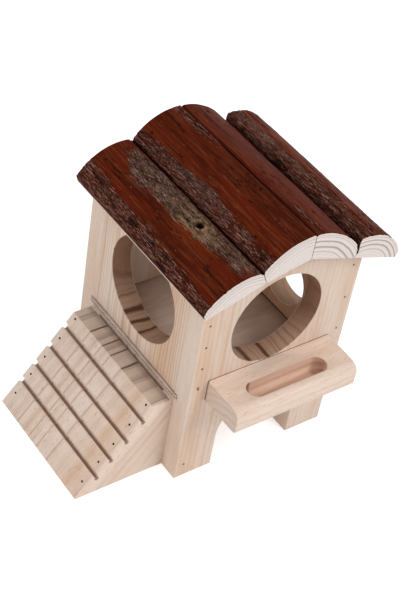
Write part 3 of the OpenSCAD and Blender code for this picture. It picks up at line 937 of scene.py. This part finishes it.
def bark_skin(slab, seed, point):
    """Height of the bark over the log's round in mm, and the masks of BARK_MASKS, at a
    point on the slab."""
    across = slab.across(point)
    along = (point.y - ROOF_FRONT) / MM
    outer, weathered = slab.bark(across, along)
    swell = wavering(across, along, 9, 34, seed + 1) * sizes().bark_swell / MM
    fine = waves(across, along, (0.5, 1.5, 16, seed + 2), (0.3, 0.8, 9, seed + 3))
    ridged = 1 - abs(wavering(across, along, 2.1, 15, seed + 4)) * 2.2
    torn = noise.fractal(Vector((across / 1.1, along / 3.2, seed)), 0.8, 2.2, 3)
    height = swell + FINE_RELIEF * fine
    height += outer * sizes().bark_ridge / MM * (0.55 * ridged + 0.35 * torn - 0.2)
    height += weathered * (GREY_RELIEF * torn - 0.1)
    split = wavering(across, along, 2.7, 48, seed + 5)
    crack = soft_step(abs(split), 0.03, 0.0)
    crack *= soft_step(wavering(across, along, 8, 30, seed + 6), 0.05, 0.3)
    crack = max(crack, 0.7 * outer * soft_step(ridged, 0.25, -0.2))
    height -= CRACK_DEPTH * crack
    near_knot = 0.0
    if slab.name == "roof_slab_left_eave":
        away = math.hypot(across - KNOT[0], (along - KNOT[1]) * 0.8)
        height += KNOT_COLLAR * band(away, 2.2, 3.8, 0.8)
        height -= KNOT_PIT * (1 - soft_step(away, 0.8, 2.4))
        crack = max(crack, 1 - soft_step(away, 1.3, 2.5))
        weathered = max(weathered, band(away, 1.6, 4.6, 0.8))
        glow = math.hypot(across - KNOT[0] - 3, (along - KNOT[1] - 2) * 0.55)
        near_knot = max(0.5 * (1 - soft_step(glow, 4, 14)), band(away, 2.4, 3.6, 0.6))
    # Each slab's shoulders are worn down to a dark seam with its neighbour
    edge = slab.from_side(point)
    height -= SHOULDER_DROP * (1 - soft_step(edge, 0.1, 1.4))
    crack = max(crack, 1 - soft_step(edge, 0.35, 0.95))
    for pit in slab.brad_heads:
        away = (point - pit).length
        sunk = 1 - soft_step(away / sizes().brad_pit, 0.6, 1.5)
        height -= BRAD_SINK * sunk
        crack = max(crack, 0.7 * sunk)
    return height, (outer, weathered, crack, near_knot)


def make_log(slab):
    """A round log along the roof, cut into cells small enough for bark."""
    run = ROOF_BACK - ROOF_FRONT
    around = round(2 * math.pi * slab.radius * MM / sizes().bark_cell)
    bpy.ops.object.select_all(action="DESELECT")
    bpy.ops.mesh.primitive_cylinder_add(
        vertices=around, radius=slab.radius * MM, depth=run,
        location=(slab.middle.x, (ROOF_FRONT + ROOF_BACK) / 2, slab.middle.z),
        rotation=(math.radians(90), 0, 0))
    log = bpy.context.object
    log.name = "bark_" + slab.name
    bpy.ops.object.transform_apply(location=True, rotation=True, scale=True)
    return log


def saw(point, outward, off=True):
    """Cuts along a plane. What lies on its outward side comes off and the cut is closed,
    or else the faces are only split there."""
    bpy.ops.mesh.select_all(action="SELECT")
    bpy.ops.mesh.bisect(
        plane_co=point, plane_no=outward, use_fill=off, clear_outer=off, threshold=NEAR)


class HAMSTER_OT_roof(bpy.types.Operator):
    """Saw four slabs from logs and give them their bark"""
    bl_idname = "hamster_house.roof"
    bl_label = "Roof slabs"

    def execute(self, context):
        for index, slab in enumerate(slabs()):
            self.make(slab, 17.0 * index)
        return {"FINISHED"}

    def make(self, slab, seed):
        log = make_log(slab)
        bpy.ops.object.mode_set(mode="EDIT")
        margin = 3 * MM
        saw(slab.start - margin * slab.out, -slab.out)
        # A subdivision makes at most 100 cuts, so the log is cut in three before its cells
        run = ROOF_BACK - ROOF_FRONT
        thirds = 3
        cells = round(run / (sizes().bark_cell * thirds))
        for pieces, edge in ((thirds, run), (cells, run / thirds)):
            select_edges(log, lambda start, end, turn: abs(end.y - start.y) > edge / 2)
            bpy.ops.mesh.subdivide(number_cuts=pieces - 1)
        bpy.ops.object.mode_set(mode="OBJECT")
        for vertex in log.data.vertices:
            if (vertex.co - slab.start).dot(slab.out) > NEAR - margin:
                place, facing = slab.skin(vertex.co)
                height = bark_skin(slab, seed, place)[0]
                vertex.co = place + facing * height * MM
        select_only(log)
        bpy.ops.object.mode_set(mode="EDIT")
        saw(slab.start, -slab.out)
        saw(slab.foot(SLAB_GAP / 2), slab.inner_side)
        saw(slab.foot(slab.width - SLAB_GAP / 2), slab.outer_side)
        # The side at the eave is split, so that the stain can end above the bare arris
        saw(slab.start + sizes().eave_sawn * slab.out, slab.out, off=False)
        bpy.ops.mesh.select_all(action="SELECT")
        bpy.ops.mesh.remove_doubles(threshold=2 * SAME)
        bpy.ops.mesh.normals_make_consistent(inside=False)
        bpy.ops.object.mode_set(mode="OBJECT")
        self.paint(log, slab, seed)

    def paint(self, log, slab, seed):
        """Stores where the bark is rough, grey or cracked, and gives the sawn faces wood."""
        mesh = log.data
        for kind in BARK_MASKS:
            mesh.attributes.new(kind, "FLOAT", "POINT")
        masks = [mesh.attributes[kind].data for kind in BARK_MASKS]
        for number, vertex in enumerate(mesh.vertices):
            values = bark_skin(slab, seed, vertex.co)[1]
            for mask, value in zip(masks, values):
                mask[number].value = value
        tones = colours()
        middle = [c / MM for c in slab.middle]
        rings = [(-depth, width, strength) for depth, width, strength in slab.rings]
        # Fresh sawn sapwood is nearly white, with grey-brown rings
        wood = sawn_pine(
            slab.name + "_sawn_sapwood", Cut(middle, slab.radius, grain=DEEP, ring=1.9, wander=0.25),
            bold=rings, contrast=0.25, fine=0.25, pale=linear("#dfc3b1"), late=tones.slab_ring,
            tan=tones.pine_pale, end=tones.slab_ring, end_pale=tones.slab_pale,
            end_contrast=0.7, warm=0.3)
        # Each slab takes its bark from another part of the pattern
        place = (middle[0] + seed * 3, middle[1], middle[2])
        finish_piece(log, wood, slab.name)
        bark = stained_bark(slab.name + "_stained_bark", place, slab.worn)
        # The bark's cells are small, and each sawn face is large. The stain ran into the
        # joints, so the slabs' sides are stained too, but for a line along the eave
        largest_cell = (4 * sizes().bark_cell) ** 2

        def is_stained(face):
            height = (face.center - slab.start).dot(slab.out)
            is_side = abs(face.normal.y) < 0.5 and face.normal.dot(slab.out) > -0.8
            return face.area < largest_cell or (is_side and height > sizes().eave_sawn)

        paint_faces(log, bark, is_stained)


class HAMSTER_OT_brads(bpy.types.Operator):
    """Give the brads dull steel"""
    bl_idname = "hamster_house.brads"
    bl_label = "Brads"

    def execute(self, context):
        tones = colours()
        bare = dull_steel("drawn_steel_brads", tones.steel)
        stained = dull_steel("stained_steel_brads", tones.steel_stained)
        for node, brads in frame["nodes"].items():
            if "brads" in node:
                darkened = "roof" in node or "ramp_board" in node
                brads.material_slots[0].material = stained if darkened else bare
        return {"FINISHED"}


# ---- stage

def seen_directly(tree):
    """1 where the camera, a reflection or a clear body looks at the surface, and 0 where
    it only takes or gives light."""
    path = add(tree, "LightPath").node
    seen = add(tree, "Math", {0: path.outputs["Is Camera Ray"], 1: path.outputs["Is Glossy Ray"]},
               operation="MAXIMUM")
    return add(tree, "Math", {0: seen, 1: path.outputs["Is Transmission Ray"]},
               operation="MAXIMUM")


class HAMSTER_OT_stage(bpy.types.Operator):
    """Set the floor, the studio light and the camera"""
    bl_idname = "hamster_house.stage"
    bl_label = "Stage"

    def execute(self, context):
        context.scene.view_settings.view_transform = "Standard"
        self.floor()
        self.world(context.scene)
        self.lamps(context.scene)
        self.camera(context.scene)
        return {"FINISHED"}

    def floor(self):
        bpy.ops.object.select_all(action="DESELECT")
        just_below = -0.02 * MM
        bpy.ops.mesh.primitive_plane_add(size=6, location=(0, 0, just_below))
        ground = bpy.context.object
        ground.name = "studio_floor"
        material, tree, shader = new_material("matt_studio_paper")
        fleck = streaked(tree, (0, 0, 0), LONG, (2, 2, 2), 0.3, 0.7)
        paper = layered(tree, linear("#fbfbfb"), [(fleck, linear("#fdfdfd"))])
        fill(tree, shader, {"Base Color": paper, "Roughness": 0.9, "Specular IOR Level": 0.0})
        # The camera sees the paper lifted to white, with the shadow left on it
        lift = add(tree, "Emission", {"Color": (1, 1, 1), "Strength": 0.47})
        lifted = add(tree, "AddShader", {0: shader.outputs[0], 1: lift})
        shown = add(tree, "MixShader", {0: seen_directly(tree), 1: shader.outputs[0], 2: lifted})
        fill(tree, tree.nodes["Material Output"], {"Surface": shown})
        ground.data.materials.append(material)

    def world(self, scene):
        world = bpy.data.worlds.new("studio")
        scene.world = world
        world.use_nodes = True
        tree = world.node_tree
        light = tree.nodes["Background"]
        fill(tree, light, {"Color": (1, 1, 1), "Strength": 0.56})
        white = add(tree, "Background", {"Color": (1, 1, 1), "Strength": 1.0})
        shown = add(tree, "MixShader", {0: seen_directly(tree), 1: light.outputs[0], 2: white})
        fill(tree, tree.nodes["World Output"], {"Surface": shown})

    def lamps(self, scene):
        aim = Vector((0, 0, 80 * MM))
        lamps = {
            "key": ((0.45, -1.15, 1.25), 0.7, 9.0),
            "fill": ((-1.2, -0.35, 0.9), 0.9, 4.0),
        }
        for name, (place, size, power) in lamps.items():
            data = bpy.data.lights.new(name, "AREA")
            data.size = size
            data.energy = power
            lamp = bpy.data.objects.new(name, data)
            scene.collection.objects.link(lamp)
            lamp.location = place
            lamp.rotation_mode = "QUATERNION"
            lamp.rotation_quaternion = (aim - lamp.location).to_track_quat("-Z", "Y")

    def camera(self, scene):
        # Solved from the photograph: focal length 1391 px on a frame 601 px high
        frame_height = 601
        focal = 1391
        data = bpy.data.cameras.new("photo_camera")
        data.sensor_width = 36
        data.lens = focal / frame_height * data.sensor_width
        data.clip_start = 0.01
        camera = bpy.data.objects.new("photo_camera", data)
        scene.collection.objects.link(camera)
        place = Vector((-353.3, -401.6, 556.9)) * MM
        look = Vector((0.4965, 0.5623, -0.6613))
        roll = math.radians(-10.61)
        camera.location = place
        camera.rotation_mode = "QUATERNION"
        level = look.to_track_quat("-Z", "Y")
        camera.rotation_quaternion = Matrix.Rotation(roll, 3, look).to_quaternion() @ level
        scene.camera = camera


# ---- sidebar

STEPS = (
    HAMSTER_OT_walls, HAMSTER_OT_floor_sheet, HAMSTER_OT_trough, HAMSTER_OT_ramp,
    HAMSTER_OT_roof, HAMSTER_OT_brads, HAMSTER_OT_stage,
)


class HAMSTER_PT_sidebar(bpy.types.Panel):
    """Sizes, colours and steps of the hamster house"""
    bl_label = "Hamster House"
    bl_idname = "HAMSTER_PT_sidebar"
    bl_space_type = "VIEW_3D"
    bl_region_type = "UI"
    bl_category = "Hamster House"

    def draw(self, context):
        for settings in (context.scene.hamster_house_sizes, context.scene.hamster_house_colours):
            for name in settings.__annotations__:
                self.layout.prop(settings, name)
        for step in STEPS:
            self.layout.operator(step.bl_idname)


CLASSES = (HamsterHouseSizes, HamsterHouseColours, *STEPS, HAMSTER_PT_sidebar)


def register():
    for item in CLASSES:
        bpy.utils.register_class(item)
    bpy.types.Scene.hamster_house_sizes = bpy.props.PointerProperty(type=HamsterHouseSizes)
    bpy.types.Scene.hamster_house_colours = bpy.props.PointerProperty(type=HamsterHouseColours)


def unregister():
    del bpy.types.Scene.hamster_house_colours
    del bpy.types.Scene.hamster_house_sizes
    for item in reversed(CLASSES):
        bpy.utils.unregister_class(item)


def main():
    register()
    bpy.ops.hamster_house.walls()
    bpy.ops.hamster_house.floor_sheet()
    bpy.ops.hamster_house.trough()
    bpy.ops.hamster_house.ramp()
    bpy.ops.hamster_house.roof()
    bpy.ops.hamster_house.brads()
    bpy.ops.hamster_house.stage()


if __name__ == "__main__":
    main()
